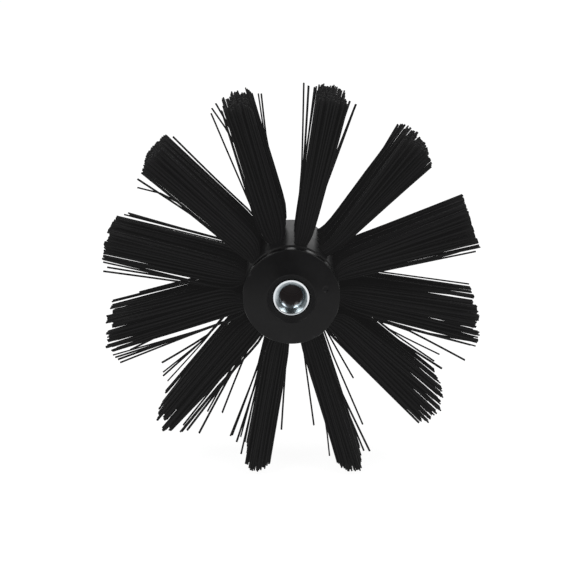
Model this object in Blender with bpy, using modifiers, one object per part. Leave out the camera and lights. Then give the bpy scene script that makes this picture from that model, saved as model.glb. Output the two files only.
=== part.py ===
"""Chimney sweep brush head, a drum hub with twelve columns of bristle tufts round it.

Metres, +Z up. The hub's axis lies along Y at AXIS_HEIGHT, and its threaded mouth faces -Y. The head
stands on the tips of its two lowest columns at z = 0, and the origin is under the middle of its length.
Columns are counted clockwise from the top as seen from the mouth, and rows from the mouth to the back.
"""

import math
import random

import bmesh
import bpy
from mathutils import Matrix, Vector

MM = 0.001

# Clearance between pieces that touch
GAP = 0.3 * MM

# Columns and rows of tufts
COLUMNS = 12
ROWS = 4
FIRST_COLUMN_ANGLE = math.radians(11.5)
SOCKET_DIAMETER = 6.4 * MM
SOCKET_DEPTH = 9.3 * MM
WALL_BETWEEN_SOCKETS = 4.4 * MM
BARREL_END_WALL = 3.0 * MM

# Bristles
BRUSH_RADIUS = 80.0 * MM
STANDING_REACH = 2.0 * MM
STRANDS_IN_RING = 7
STRAND_RADIUS = 0.70 * MM
STRAND_TIP_RADIUS = 0.50 * MM
TIP_SPREAD = 5.8 * MM
TIP_WANDER = 0.45 * MM
STRAND_BOW = 0.06
TRIM_WANDER = 1.2 * MM
ROOT_PROUD = 0.6 * MM
STANDING_COLUMNS = 2
STANDING_CUT = 0.5 * MM
SHORTER_AT_EDGE = 3.5 * MM

# Wear of each column, from the first one on: how far its tips lean round the drum, clockwise, and how
# many times wider than a new tuft they spread
TIP_LEAN = tuple(lean * MM for lean in (0.0, 1.0, -0.7, 0.5, -3.9, 1.5, -2.0, -5.5, 4.5, 2.4, 3.1, 3.4))
TIP_LOOSENESS = (1.0, 1.2, 1.0, 1.2, 1.3, 1.0, 1.0, 1.7, 1.3, 1.1, 1.0, 1.0)

# Steel insert: the bore is the minor diameter of an M12 thread
THREAD_BORE = 10.1 * MM
THREAD_DEPTH = 24.0 * MM
MOUTH_DIAMETER = 13.0 * MM
SLEEVE_DIAMETER = 15.0 * MM
SLEEVE_SUNK = 1.9 * MM
SLEEVE_PROUD = 0.4 * MM
SLEEVE_EDGE = 0.25 * MM
SLEEVE_FLOOR = 1.0 * MM
HEXAGON_ACROSS_FLATS = 17.0 * MM
HEXAGON_LENGTH = 19.0 * MM

# Front end plate: a cone that rises from the rim to a crest, with a dish inside the crest for the sleeve
DISH_WIDTH = 2.5 * MM
CREST_WIDTH = 0.4 * MM
CREST_HEIGHT = 2.9 * MM
PLATE_RIM = 4.3 * MM
PLATE_EDGE = 0.6 * MM
GROOVE_WIDTH = 3.2 * MM
GROOVE_DEPTH = 1.5 * MM

# Hub barrel
CORE_WALL = 0.885 * MM
BARREL_EDGE = 1.0 * MM
CORE_WEB = 4.0 * MM
CORE_HOLLOW_DIAMETER = 16.0 * MM

# Rear plug
PLUG_FACE = 2.2 * MM
PLUG_SKIRT = 1.6 * MM
PLUG_LENGTH = 7.0 * MM
PLUG_SUNK = 0.6 * MM
PLUG_EDGE = 0.6 * MM

# Faces round each shape
ROUND_STEPS = 48
EDGE_STEPS = 3
SOCKET_SIDES = 12
TUFT_SIDES = 10

# Sizes that follow from the ones above
ROW_PITCH = SOCKET_DIAMETER + WALL_BETWEEN_SOCKETS
STAGGER = ROW_PITCH / 2
HEXAGON_CORNER = HEXAGON_ACROSS_FLATS / math.sqrt(3)
INSERT_RADIUS = max(HEXAGON_CORNER, SLEEVE_DIAMETER / 2)
SOCKET_FLOOR = INSERT_RADIUS + GAP + CORE_WALL
HUB_RADIUS = SOCKET_FLOOR + SOCKET_DEPTH
PLATE_BORE = SLEEVE_DIAMETER / 2 + GAP
CREST_RADIUS = PLATE_BORE + DISH_WIDTH
BARREL_LENGTH = 2 * BARREL_END_WALL + SOCKET_DIAMETER + (ROWS - 1) * ROW_PITCH + STAGGER
AXIS_HEIGHT = BRUSH_RADIUS + STANDING_REACH

# Places along the hub, measured towards the mouth from the middle of the whole length
CREST_FACE = (CREST_HEIGHT + PLATE_RIM + GROOVE_WIDTH + BARREL_LENGTH) / 2
MOUTH_FACE = CREST_FACE - SLEEVE_SUNK
DISH_FLOOR = MOUTH_FACE - SLEEVE_PROUD
PLATE_FACE = CREST_FACE - CREST_HEIGHT
RIM_BACK = PLATE_FACE - PLATE_RIM
BARREL_FRONT = RIM_BACK - GROOVE_WIDTH
BARREL_BACK = BARREL_FRONT - BARREL_LENGTH
HEXAGON_FRONT = BARREL_FRONT - GAP
HEXAGON_BACK = HEXAGON_FRONT - HEXAGON_LENGTH
THREAD_FLOOR = MOUTH_FACE - THREAD_DEPTH
SLEEVE_BACK = THREAD_FLOOR - SLEEVE_FLOOR
POCKET_FLOOR = min(HEXAGON_BACK, SLEEVE_BACK) - GAP
HOLLOW_FLOOR = POCKET_FLOOR - CORE_WEB
FIRST_ROW = BARREL_FRONT - BARREL_END_WALL - SOCKET_DIAMETER / 2

# Finishes: colour, roughness, metallic
FINISHES = {
    "hub_plastic": ((0.022, 0.021, 0.022, 1.0), 0.38, 0.0),
    "bristle_nylon": ((0.014, 0.014, 0.015, 1.0), 0.42, 0.0),
    "zinc_plated_steel": ((0.72, 0.73, 0.74, 1.0), 0.24, 1.0),
}


def clear_scene():
    """Removes every object that the file starts with."""
    for item in list(bpy.data.objects):
        bpy.data.objects.remove(item)


def new_collection(name):
    """Makes a collection in the scene."""
    collection = bpy.data.collections.new(name)
    bpy.context.scene.collection.children.link(collection)
    return collection


def make_material(name, finish):
    """Makes a plain material from one of FINISHES."""
    colour, roughness, metallic = FINISHES[finish]
    material = bpy.data.materials.new(name)
    material.use_nodes = True
    shader = material.node_tree.nodes["Principled BSDF"]
    shader.inputs["Base Color"].default_value = colour
    shader.inputs["Roughness"].default_value = roughness
    shader.inputs["Metallic"].default_value = metallic
    material.diffuse_color = colour
    return material


def add_object(name, mesh, collection, parent, finish=None):
    """Puts a mesh in the scene under a parent, with a material of its own."""
    item = bpy.data.objects.new(name, mesh)
    collection.objects.link(item)
    item.parent = parent
    if finish:
        mesh.materials.append(make_material(f"{name}_{finish}", finish))
    return item


def finished(shape, name):
    """Turns a bmesh into a mesh and frees it."""
    mesh = bpy.data.meshes.new(name)
    shape.to_mesh(mesh)
    shape.free()
    return mesh


def add_frame(name, collection, location, rotation):
    """Adds an empty that other objects are placed from."""
    frame = bpy.data.objects.new(name, None)
    frame.empty_display_size = 10 * MM
    frame.location = location
    frame.rotation_euler = rotation
    collection.objects.link(frame)
    return frame


def rounded_corner(radius, height, size, low=False):
    """Points of a quarter round at an outer corner of a turned outline, which runs down its outer side."""
    points = []
    for step in range(EDGE_STEPS + 1):
        angle = math.pi / 2 * step / EDGE_STEPS
        inset = size * (1 - math.sin(angle))
        drop = size * (1 - math.cos(angle))
        points.append((radius - inset, height + drop if low else height - drop))
    return points[::-1] if low else points


def turned(name, outline, collection, parent, finish):
    """Turns an outline of (radius, height) points round the hub's axis.

    The outline runs down its outer side. It starts and ends on the axis, or else it is closed.
    """
    shape = bmesh.new()
    verts = [shape.verts.new((radius, 0.0, height)) for radius, height in outline]
    for first, second in zip(verts, verts[1:]):
        shape.edges.new((first, second))
    if outline[0][0] > 0.0:
        shape.edges.new((verts[-1], verts[0]))
    item = add_object(name, finished(shape, name), collection, parent, finish)
    screw = item.modifiers.new("turn", "SCREW")
    screw.steps = ROUND_STEPS
    screw.render_steps = ROUND_STEPS
    screw.use_merge_vertices = True
    screw.merge_threshold = 0.00001
    return item


def add_cutter(shape, name, collection, parent):
    """Adds a hidden object that only cuts others, or is joined to one."""
    item = add_object(name, finished(shape, name), collection, parent)
    item.hide_render = True
    item.display_type = "WIRE"
    return item


def combine(item, tool, operation):
    """Cuts a tool out of an object, or joins it on."""
    boolean = item.modifiers.new(tool.name, "BOOLEAN")
    boolean.operation = operation
    boolean.solver = "EXACT"
    boolean.object = tool


def add_prism(shape, sides, corner, low, high, place=Matrix.Identity(4)):
    """Adds an upright prism of so many sides to a shape, its corners at one radius, between two heights."""
    bmesh.ops.create_cone(
        shape,
        cap_ends=True,
        segments=sides,
        radius1=corner,
        radius2=corner,
        depth=high - low,
        matrix=place @ Matrix.Translation((0, 0, (low + high) / 2)),
    )
    return shape


def column_angle(column):
    """Direction of a column, clockwise from straight up as seen from the mouth."""
    return FIRST_COLUMN_ANGLE + 2 * math.pi * column / COLUMNS


def standing_columns():
    """The columns that point most nearly straight down, on which the head stands."""
    by_height = sorted(range(COLUMNS), key=lambda column: math.cos(column_angle(column)))
    return by_height[:STANDING_COLUMNS]


def tuft_height(column, row):
    """Place of a tuft along the hub. Every second column lies half a pitch further back."""
    return FIRST_ROW - row * ROW_PITCH - (STAGGER if column % 2 else 0.0)


def socket_shape():
    """All the blind holes for the tufts, in the hub's own frame."""
    rim = HUB_RADIUS + BARREL_EDGE
    holes = bmesh.new()
    for column in range(COLUMNS):
        outwards = Matrix.Rotation(-column_angle(column), 4, "Z") @ Matrix.Rotation(-math.pi / 2, 4, "X")
        for row in range(ROWS):
            place = Matrix.Translation((0, 0, tuft_height(column, row))) @ outwards
            add_prism(holes, SOCKET_SIDES, SOCKET_DIAMETER / 2, SOCKET_FLOOR, rim, place)
    return holes


def build_barrel(parts, cutters, hub):
    """The drum: a turned body, cored out from the back, with its sockets and the insert's pocket cut in."""
    hollow = CORE_HOLLOW_DIAMETER / 2
    outline = [(0.0, BARREL_FRONT)]
    outline += rounded_corner(HUB_RADIUS, BARREL_FRONT, BARREL_EDGE)
    outline += rounded_corner(HUB_RADIUS, BARREL_BACK, BARREL_EDGE, low=True)
    outline += [(hollow, BARREL_BACK), (hollow, HOLLOW_FLOOR), (0.0, HOLLOW_FLOOR)]
    barrel = turned("hub_barrel", outline, parts, hub, "hub_plastic")
    combine(barrel, add_cutter(socket_shape(), "sockets", cutters, hub), "DIFFERENCE")
    corner = (HEXAGON_ACROSS_FLATS + 2 * GAP) / math.sqrt(3)
    pocket = add_prism(bmesh.new(), 6, corner, POCKET_FLOOR, BARREL_FRONT + BARREL_EDGE)
    combine(barrel, add_cutter(pocket, "hexagon_pocket", cutters, hub), "DIFFERENCE")
    well = add_prism(bmesh.new(), ROUND_STEPS, PLATE_BORE, SLEEVE_BACK - GAP, BARREL_FRONT + BARREL_EDGE)
    combine(barrel, add_cutter(well, "sleeve_pocket", cutters, hub), "DIFFERENCE")


def build_front_plate(parts, hub):
    """The end disc: a low cone from its rim to the crest, a dish inside the crest, and a groove behind."""
    back = BARREL_FRONT + GAP
    outline = [(PLATE_BORE, DISH_FLOOR)]
    outline += [(CREST_RADIUS - CREST_WIDTH / 2, CREST_FACE), (CREST_RADIUS + CREST_WIDTH / 2, CREST_FACE)]
    outline += rounded_corner(HUB_RADIUS, PLATE_FACE, PLATE_EDGE)
    outline += [
        (HUB_RADIUS, RIM_BACK),
        (HUB_RADIUS - GROOVE_DEPTH, RIM_BACK),
        (HUB_RADIUS - GROOVE_DEPTH, back),
        (PLATE_BORE, back),
    ]
    turned("front_end_plate", outline, parts, hub, "hub_plastic")


def build_insert(parts, cutters, hub):
    """The steel insert: a round sleeve with a countersunk blind bore, and a hexagon that the hub holds."""
    sleeve = SLEEVE_DIAMETER / 2
    bore = THREAD_BORE / 2
    mouth = MOUTH_DIAMETER / 2
    outline = [
        (0.0, THREAD_FLOOR),
        (bore, THREAD_FLOOR),
        (bore, MOUTH_FACE - (mouth - bore)),
        (mouth, MOUTH_FACE),
        (sleeve - SLEEVE_EDGE, MOUTH_FACE),
        (sleeve, MOUTH_FACE - SLEEVE_EDGE),
        (sleeve, SLEEVE_BACK),
        (0.0, SLEEVE_BACK),
    ]
    insert = turned("threaded_insert", outline, parts, hub, "zinc_plated_steel")
    hexagon = add_prism(bmesh.new(), 6, HEXAGON_CORNER, HEXAGON_BACK, HEXAGON_FRONT)
    nut = add_cutter(hexagon, "hexagon", cutters, hub)
    well = add_prism(bmesh.new(), ROUND_STEPS, bore, THREAD_FLOOR, MOUTH_FACE)
    combine(nut, add_cutter(well, "bore", cutters, hub), "DIFFERENCE")
    combine(insert, nut, "UNION")


def build_rear_plug(parts, hub):
    """A cup-shaped plug that closes the barrel's hollow, its face a little below the barrel's end."""
    radius = CORE_HOLLOW_DIAMETER / 2 - GAP
    face = BARREL_BACK + PLUG_SUNK
    outline = [(0.0, face + PLUG_FACE), (radius - PLUG_SKIRT, face + PLUG_FACE)]
    outline += [(radius - PLUG_SKIRT, face + PLUG_LENGTH), (radius, face + PLUG_LENGTH)]
    outline += rounded_corner(radius, face, PLUG_EDGE, low=True)
    outline += [(0.0, face)]
    turned("rear_plug", outline, parts, hub, "hub_plastic")


def tip_place(chance, column, across, along, edge):
    """Where a strand's tip lies in its tuft's frame. edge is 0 for the middle strand and 1 for the others."""
    across += TIP_LEAN[column % len(TIP_LEAN)] + chance.uniform(-TIP_WANDER, TIP_WANDER)
    along += chance.uniform(-TIP_WANDER, TIP_WANDER)
    trim = edge * chance.uniform(0, TRIM_WANDER)
    if column not in standing_columns():
        reach = BRUSH_RADIUS - trim
        return Vector((across, along, math.sqrt(reach * reach - across * across)))
    drop = AXIS_HEIGHT + STANDING_CUT - trim - edge * SHORTER_AT_EDGE
    angle = column_angle(column)
    return Vector((across, along, -(drop - across * math.sin(angle)) / math.cos(angle)))


def strand_layout(chance, column):
    """Root and tip of each strand, in its tuft's frame: X round the drum, Y along it, Z outwards.

    One strand stands in the middle and the others fan out from a ring round it, so none crosses another.
    """
    top = HUB_RADIUS + ROOT_PROUD
    ring = SOCKET_DIAMETER / 2 - GAP - 1.3 * STRAND_RADIUS
    widest = TIP_SPREAD * TIP_LOOSENESS[column % len(TIP_LOOSENESS)]
    deepest = ROW_PITCH / 2 - GAP - STRAND_TIP_RADIUS - TIP_WANDER
    start = chance.uniform(0, 2 * math.pi / STRANDS_IN_RING)
    strands = [(Vector((0, 0, top)), tip_place(chance, column, 0, 0, 0))]
    for number in range(STRANDS_IN_RING):
        angle = start + 2 * math.pi * number / STRANDS_IN_RING
        across, along = math.cos(angle), math.sin(angle)
        tip = tip_place(chance, column, widest * across, deepest * along, 1)
        strands.append((Vector((ring * across, ring * along, top)), tip))
    return strands


def strand_ring(middle, radius, turn):
    """The three corners of a strand's section round a point."""
    angles = [turn + 2 * math.pi * side / 3 for side in range(3)]
    return [middle + Vector((radius * math.cos(angle), radius * math.sin(angle), 0)) for angle in angles]


def grow_strand(shape, root, path, turn):
    """Draws a strand out of a triangle in the tuft's top face, one step for each point of the path."""
    face = root
    for step, middle in enumerate(path, start=1):
        radius = STRAND_RADIUS + (STRAND_TIP_RADIUS - STRAND_RADIUS) * step / len(path)
        face = bmesh.ops.extrude_discrete_faces(shape, faces=[face])["faces"][0]
        for vert, place in zip(face.verts, strand_ring(middle, radius, turn)):
            vert.co = place


def cut_flat(shape, column):
    """Cuts a tuft off level where the head stands on it."""
    downwards = Matrix.Rotation(-column_angle(column), 3, "Y") @ Vector((0, 0, -1))
    sliced = bmesh.ops.bisect_plane(
        shape,
        geom=shape.verts[:] + shape.edges[:] + shape.faces[:],
        plane_co=downwards * AXIS_HEIGHT,
        plane_no=downwards,
        clear_outer=True,
    )
    open_edges = [item for item in sliced["geom_cut"] if isinstance(item, bmesh.types.BMEdge)]
    bmesh.ops.holes_fill(shape, edges=open_edges, sides=0)


def tuft_shape(column, row):
    """One tuft: the packed root in its socket, with its strands grown from the root's top face."""
    chance = random.Random(COLUMNS * row + column)
    shape = bmesh.new()
    root_radius = SOCKET_DIAMETER / 2 - GAP
    add_prism(shape, TUFT_SIDES, root_radius, SOCKET_FLOOR + GAP, HUB_RADIUS + ROOT_PROUD)
    lid = max(shape.faces, key=lambda face: face.calc_center_median().z)
    rim = lid.edges[:]
    shape.faces.remove(lid)
    strands = []
    for root, tip in strand_layout(chance, column):
        turn = chance.uniform(0, 2 * math.pi)
        corners = [shape.verts.new(place) for place in strand_ring(root, STRAND_RADIUS, turn)]
        strands.append((shape.faces.new(corners), root, tip, turn))
    holes = [edge for face, *rest in strands for edge in face.edges]
    bmesh.ops.triangle_fill(shape, use_beauty=True, edges=rim + holes, normal=(0, 0, 1))
    for face, root, tip, turn in strands:
        bow = Vector((tip.x - root.x, tip.y - root.y, 0)) * STRAND_BOW
        grow_strand(shape, face, [root.lerp(tip, 0.5) + bow, tip], turn)
    if column in standing_columns():
        cut_flat(shape, column)
    bmesh.ops.recalc_face_normals(shape, faces=shape.faces)
    return shape


def build_tufts(parts, centre):
    """All the tufts, each in its own socket."""
    for column in range(COLUMNS):
        for row in range(ROWS):
            name = f"tuft_{column + 1:02d}_{row + 1}"
            mesh = finished(tuft_shape(column, row), name)
            mesh.shade_smooth()
            mesh.set_sharp_from_angle(angle=math.radians(50))
            item = add_object(name, mesh, parts, centre, "bristle_nylon")
            item.location = (0, -tuft_height(column, row), 0)
            item.rotation_euler = (0, column_angle(column), 0)


def main():
    """Builds the whole head."""
    clear_scene()
    parts = new_collection("chimney_sweep_brush")
    cutters = new_collection("cutters")
    centre = add_frame("brush_centre", parts, (0, 0, AXIS_HEIGHT), (0, 0, 0))
    hub = add_frame("hub_frame", parts, (0, 0, AXIS_HEIGHT), (math.pi / 2, 0, 0))
    build_barrel(parts, cutters, hub)
    build_front_plate(parts, hub)
    build_insert(parts, cutters, hub)
    build_rear_plug(parts, hub)
    build_tufts(parts, centre)


main()
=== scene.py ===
"""Looks of a chimney sweep brush head: a black drum hub, a plated steel insert and forty-eight bristle tufts.

Metres, +Z up. The hub's axis lies along Y and its threaded mouth faces -Y, towards the camera. Columns of
tufts are counted clockwise from the top as seen from the mouth, and rows from the mouth to the back.
"""

import logging
import math
from dataclasses import dataclass, field
from enum import Enum
from typing import Callable, Optional, Sequence, Union

import bpy
import numpy as np
from mathutils import Matrix, Vector


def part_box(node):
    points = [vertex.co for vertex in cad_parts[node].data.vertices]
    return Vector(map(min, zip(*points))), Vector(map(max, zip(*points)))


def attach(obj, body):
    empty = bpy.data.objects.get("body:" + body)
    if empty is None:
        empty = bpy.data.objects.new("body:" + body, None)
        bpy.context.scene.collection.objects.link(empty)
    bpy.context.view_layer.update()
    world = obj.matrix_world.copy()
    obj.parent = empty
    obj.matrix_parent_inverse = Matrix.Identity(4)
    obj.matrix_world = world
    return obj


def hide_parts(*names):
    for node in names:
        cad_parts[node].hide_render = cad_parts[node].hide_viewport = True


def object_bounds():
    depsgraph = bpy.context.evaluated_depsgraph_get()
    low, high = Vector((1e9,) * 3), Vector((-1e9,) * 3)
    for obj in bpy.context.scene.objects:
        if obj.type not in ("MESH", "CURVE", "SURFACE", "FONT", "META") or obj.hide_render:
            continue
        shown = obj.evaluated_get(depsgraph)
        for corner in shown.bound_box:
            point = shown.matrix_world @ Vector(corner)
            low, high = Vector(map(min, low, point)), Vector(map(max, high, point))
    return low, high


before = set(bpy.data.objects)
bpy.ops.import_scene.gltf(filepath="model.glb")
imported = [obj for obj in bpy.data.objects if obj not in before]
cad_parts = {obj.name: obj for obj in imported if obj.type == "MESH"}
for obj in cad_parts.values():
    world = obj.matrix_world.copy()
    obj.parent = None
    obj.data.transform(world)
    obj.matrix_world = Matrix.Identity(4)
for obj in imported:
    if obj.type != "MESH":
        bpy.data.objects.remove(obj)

MM = 0.001
CAMERA_ELEVATION = math.radians(14.7)
LOG = logging.getLogger("brush_head")
CAD_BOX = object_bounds()
STRAND_TONE = "strand_tone"

# What more than one piece needs: the gap between pieces, the steel sleeve and its countersink, and how far
# from the axis a tuft's folded end lies in its socket
CLEARANCE = 0.3 * MM
SLEEVE_RADIUS = 7.6 * MM
LEAD_DEPTH = 1.8 * MM
TUFT_FLOOR = 11.3 * MM

# How close two points lie to be merged
MERGE_DISTANCE = 0.0000005

Point = tuple[float, float]
Colour = tuple[float, float, float, float]


class Slot(Enum):
    """Material slots of the record."""

    HUB = "hub_plastic"
    BRISTLE = "bristle_nylon"
    STEEL = "zinc_plated_steel"


class Ends(Enum):
    """How a turned shape is finished at the ends of its outline."""

    CAPPED = "capped"
    JOINED = "joined"


def grey(level: float) -> Colour:
    """An opaque neutral colour."""
    return (level, level, level, 1.0)


class Term:
    """A value in a material's graph, on which Python's operators add Math nodes."""

    def __init__(self, graph: "Graph", socket: bpy.types.NodeSocket) -> None:
        """Keeps the socket that gives the value, and the graph it belongs to."""
        self.graph = graph
        self.socket = socket

    def _math(self, operation: str, left: "Operand", right: "Operand") -> "Term":
        """Adds one Math node.

        Args:
            operation: Name of the node's operation.
            left: First operand.
            right: Second operand.

        Returns:
            The node's result.
        """
        node = self.graph.node("ShaderNodeMath", {"operation": operation}, {0: left, 1: right})
        return Term(self.graph, node.outputs[0])

    def __add__(self, other: "Operand") -> "Term":
        """Value plus another."""
        return self._math("ADD", self, other)

    def __radd__(self, other: "Operand") -> "Term":
        """Another plus value."""
        return self._math("ADD", other, self)

    def __sub__(self, other: "Operand") -> "Term":
        """Value minus another."""
        return self._math("SUBTRACT", self, other)

    def __rsub__(self, other: "Operand") -> "Term":
        """Another minus value."""
        return self._math("SUBTRACT", other, self)

    def __mul__(self, other: "Operand") -> "Term":
        """Value times another."""
        return self._math("MULTIPLY", self, other)

    def __rmul__(self, other: "Operand") -> "Term":
        """Another times value."""
        return self._math("MULTIPLY", other, self)

    def __truediv__(self, other: "Operand") -> "Term":
        """Value over another."""
        return self._math("DIVIDE", self, other)

    def __rtruediv__(self, other: "Operand") -> "Term":
        """Another over value."""
        return self._math("DIVIDE", other, self)

    def at_most(self, other: "Operand") -> "Term":
        """The smaller of two values."""
        return self._math("MINIMUM", self, other)

    def at_least(self, other: "Operand") -> "Term":
        """The larger of two values."""
        return self._math("MAXIMUM", self, other)


Operand = Union[Term, bpy.types.NodeSocket, float, int, Sequence[float]]


class Graph:
    """The node tree of a material or a world, with one method that adds any node."""

    def __init__(self, owner: Union[bpy.types.Material, bpy.types.World]) -> None:
        """Empties a node tree and takes hold of it.

        Args:
            owner: The material or world that has the tree.
        """
        owner.use_nodes = True
        self.tree = owner.node_tree
        self.tree.nodes.clear()

    def node(
        self, kind: str, settings: Optional[dict] = None, inputs: Optional[dict] = None
    ) -> bpy.types.Node:
        """Adds a node.

        Args:
            kind: Type name of the node.
            settings: Properties set before the inputs.
            inputs: Value or link of each input, by the input's name or number.

        Returns:
            The new node.
        """
        node = self.tree.nodes.new(kind)
        for name, value in (settings or {}).items():
            setattr(node, name, value)
        for key, value in (inputs or {}).items():
            self.feed(node.inputs[key], value)
        return node

    def feed(self, socket: bpy.types.NodeSocket, value: Operand) -> None:
        """Links a value to an input, or sets the input where the value is a constant.

        Args:
            socket: The input.
            value: The value or constant.
        """
        source = value.socket if isinstance(value, Term) else value
        if isinstance(source, bpy.types.NodeSocket):
            self.tree.links.new(source, socket)
        else:
            socket.default_value = source

    def term(self, kind: str, settings: dict, inputs: dict, output: Union[str, int] = 0) -> Term:
        """Adds a node and returns one of its outputs as a value."""
        return Term(self, self.node(kind, settings, inputs).outputs[output])

    def mix(self, share: Operand, first: Operand, second: Operand) -> bpy.types.NodeSocket:
        """Mixes two colours.

        Args:
            share: How much of the second colour shows.
            first: Colour at share 0.
            second: Colour at share 1.

        Returns:
            The mixed colour.
        """
        settings = {"data_type": "RGBA", "clamp_factor": True}
        node = self.node("ShaderNodeMix", settings, {0: share, 6: first, 7: second})
        return node.outputs[2]

    def vector(self, operation: str, first: Operand, second: Operand = (0.0, 0.0, 0.0)) -> bpy.types.Node:
        """Adds a Vector Math node."""
        return self.node("ShaderNodeVectorMath", {"operation": operation}, {0: first, 1: second})

    def noise(self, place: Operand, scale: float, detail: float = 2.0, roughness: float = 0.5) -> Term:
        """A noise over the surface, from about 0 to 1.

        Args:
            place: Coordinates that it follows.
            scale: Cells per metre.
            detail: Octaves.
            roughness: Strength of each finer octave.

        Returns:
            The noise's value.
        """
        inputs = {"Vector": place, "Scale": scale, "Detail": detail, "Roughness": roughness}
        return self.term("ShaderNodeTexNoise", {}, inputs)

    def ramp(self, value: Operand, low: float, high: float) -> Term:
        """Rises from 0 at low to 1 at high, smoothly."""
        settings = {"interpolation_type": "SMOOTHSTEP"}
        return self.term("ShaderNodeMapRange", settings, {"Value": value, "From Min": low, "From Max": high})

    def object_place(self) -> bpy.types.NodeSocket:
        """Object coordinates, in metres."""
        return self.node("ShaderNodeTexCoord").outputs["Object"]

    def bump(
        self, height: Operand, depth: float, normal: Optional[bpy.types.NodeSocket] = None
    ) -> bpy.types.NodeSocket:
        """A bumped normal.

        Args:
            height: Height of the surface, from 0 to 1.
            depth: What height 1 is in metres.
            normal: The surface's bumps so far.

        Returns:
            The normal.
        """
        inputs = {"Height": height, "Distance": depth}
        if normal is not None:
            inputs["Normal"] = normal
        return self.node("ShaderNodeBump", {}, inputs).outputs[0]

    def from_axis(self, place: Operand, point: Sequence[float]) -> Term:
        """Distance from a line that runs along Y.

        Args:
            place: Coordinates on the surface.
            point: A point on the line.

        Returns:
            The distance.
        """
        offset = self.vector("SUBTRACT", place, tuple(point)).outputs[0]
        flat = self.vector("MULTIPLY", offset, (1.0, 0.0, 1.0)).outputs[0]
        return Term(self, self.vector("LENGTH", flat).outputs["Value"])

    def strand_tone(self) -> Term:
        """Tone of each strand, from 0 to 1."""
        return self.term("ShaderNodeAttribute", {"attribute_name": STRAND_TONE}, {}, "Fac")

    def shown(self) -> tuple[Term, Term]:
        """Picks out the rays that see the plain white round the head.

        Returns:
            1 for rays of the camera, of metal and of glass, and 1 for the camera's own rays.
        """
        path = self.node("ShaderNodeLightPath").outputs
        camera = Term(self, path["Is Camera Ray"])
        return camera.at_least(path["Is Glossy Ray"]).at_least(path["Is Transmission Ray"]), camera

    def surface(self, constants: dict, varied: dict) -> None:
        """Ends the graph in a Principled shader.

        Args:
            constants: Inputs that are the same all over.
            varied: Inputs that change over the surface.
        """
        shader = self.node("ShaderNodeBsdfPrincipled", {}, {**constants, **varied})
        self.node("ShaderNodeOutputMaterial", {}, {"Surface": shader.outputs[0]})


@dataclass(frozen=True)
class Finish:
    """A finish that can be put on a piece."""

    def material(self, name: str, centre: Vector) -> bpy.types.Material:
        """Makes the finish.

        Args:
            name: Name of the new material.
            centre: A point on the hub's axis.

        Returns:
            The material.
        """
        made = bpy.data.materials.new(name)
        self.paint(Graph(made), centre)
        return made

    def paint(self, graph: Graph, centre: Vector) -> None:
        """Fills the material's graph."""
        raise NotImplementedError


@dataclass(frozen=True)
class MouldedPlastic(Finish):
    """Black moulded plastic with a fine spark-eroded grain, faint flow clouds and rubbed edges.

    Attributes:
        mark: Place of the moulding gate's shallow round mark: right of the hub's axis, and above it.
        mark_radius: Radius of the mark, or 0 on a piece that has neither mark nor dish.
        mark_floor: Radius of the mark's flat floor, as a share of its own.
        dish: Radii between which the matt dish round the sleeve ends.
    """

    colour: Colour = (0.0037, 0.0036, 0.0038, 1.0)
    cloud_colour: Colour = (0.0058, 0.0057, 0.0060, 1.0)
    rubbed_colour: Colour = (0.020, 0.020, 0.021, 1.0)
    # Painted light: a faint glow that lifts the surface where it lies in shade; of the plastic pieces only
    # the drum has one
    painted_glow: Colour = grey(0.0)
    roughness: float = 0.28
    specular: float = 0.155
    cloud_scale: float = 70.0
    cloud_range: Point = (0.35, 0.70)
    cloud_roughness: float = 0.06
    speck_scale: float = 900.0
    speck_range: Point = (0.66, 0.74)
    speck_share: float = 0.12
    speck_roughness: float = 0.06
    rubbed_scale: float = 450.0
    rubbed_range: Point = (0.53, 0.60)
    rubbed_share: float = 0.8
    grain_scale: float = 2600.0
    grain_depth: float = 0.012 * MM
    ripple_scale: float = 130.0
    ripple_depth: float = 0.06 * MM
    mark: Point = (14.2 * MM, 3.8 * MM)
    mark_radius: float = 0.0
    mark_floor: float = 0.45
    mark_depth: float = 0.22 * MM
    dish: Point = (9.6 * MM, 10.6 * MM)
    dish_roughness: float = 0.60

    def paint(self, graph: Graph, centre: Vector) -> None:
        """Fills the material's graph.

        Args:
            graph: The material's graph.
            centre: A point on the hub's axis.
        """
        place = graph.object_place()
        clouds = graph.ramp(graph.noise(place, self.cloud_scale, 4.0, 0.6), *self.cloud_range)
        specks = graph.ramp(graph.noise(place, self.speck_scale), *self.speck_range)
        edges = Term(graph, graph.node("ShaderNodeNewGeometry").outputs["Pointiness"])
        rubbed = graph.ramp(edges, *self.rubbed_range) * graph.noise(place, self.rubbed_scale)
        worn = rubbed * self.rubbed_share + specks * self.speck_share
        base = graph.mix(clouds, self.colour, self.cloud_colour)
        base = graph.mix(worn.at_most(1.0), base, self.rubbed_colour)
        normal = graph.bump(graph.noise(place, self.grain_scale, 3.0, 0.6), self.grain_depth)
        normal = graph.bump(graph.noise(place, self.ripple_scale, 1.0), self.ripple_depth, normal)
        roughness = self.roughness
        if self.mark_radius:
            middle = (centre.x + self.mark[0], 0.0, centre.z + self.mark[1])
            radius = graph.from_axis(place, middle)
            dip = graph.ramp(radius, self.mark_radius * self.mark_floor, self.mark_radius)
            normal = graph.bump(dip, self.mark_depth, normal)
            outside = graph.ramp(graph.from_axis(place, centre), *self.dish)
            roughness = self.dish_roughness - outside * (self.dish_roughness - self.roughness)
        roughness = roughness + clouds * self.cloud_roughness + specks * self.speck_roughness
        graph.surface(
            {"Specular IOR Level": self.specular, "Emission Color": self.painted_glow, "Emission Strength": 1.0},
            {"Base Color": base, "Roughness": roughness, "Normal": normal},
        )


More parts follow.
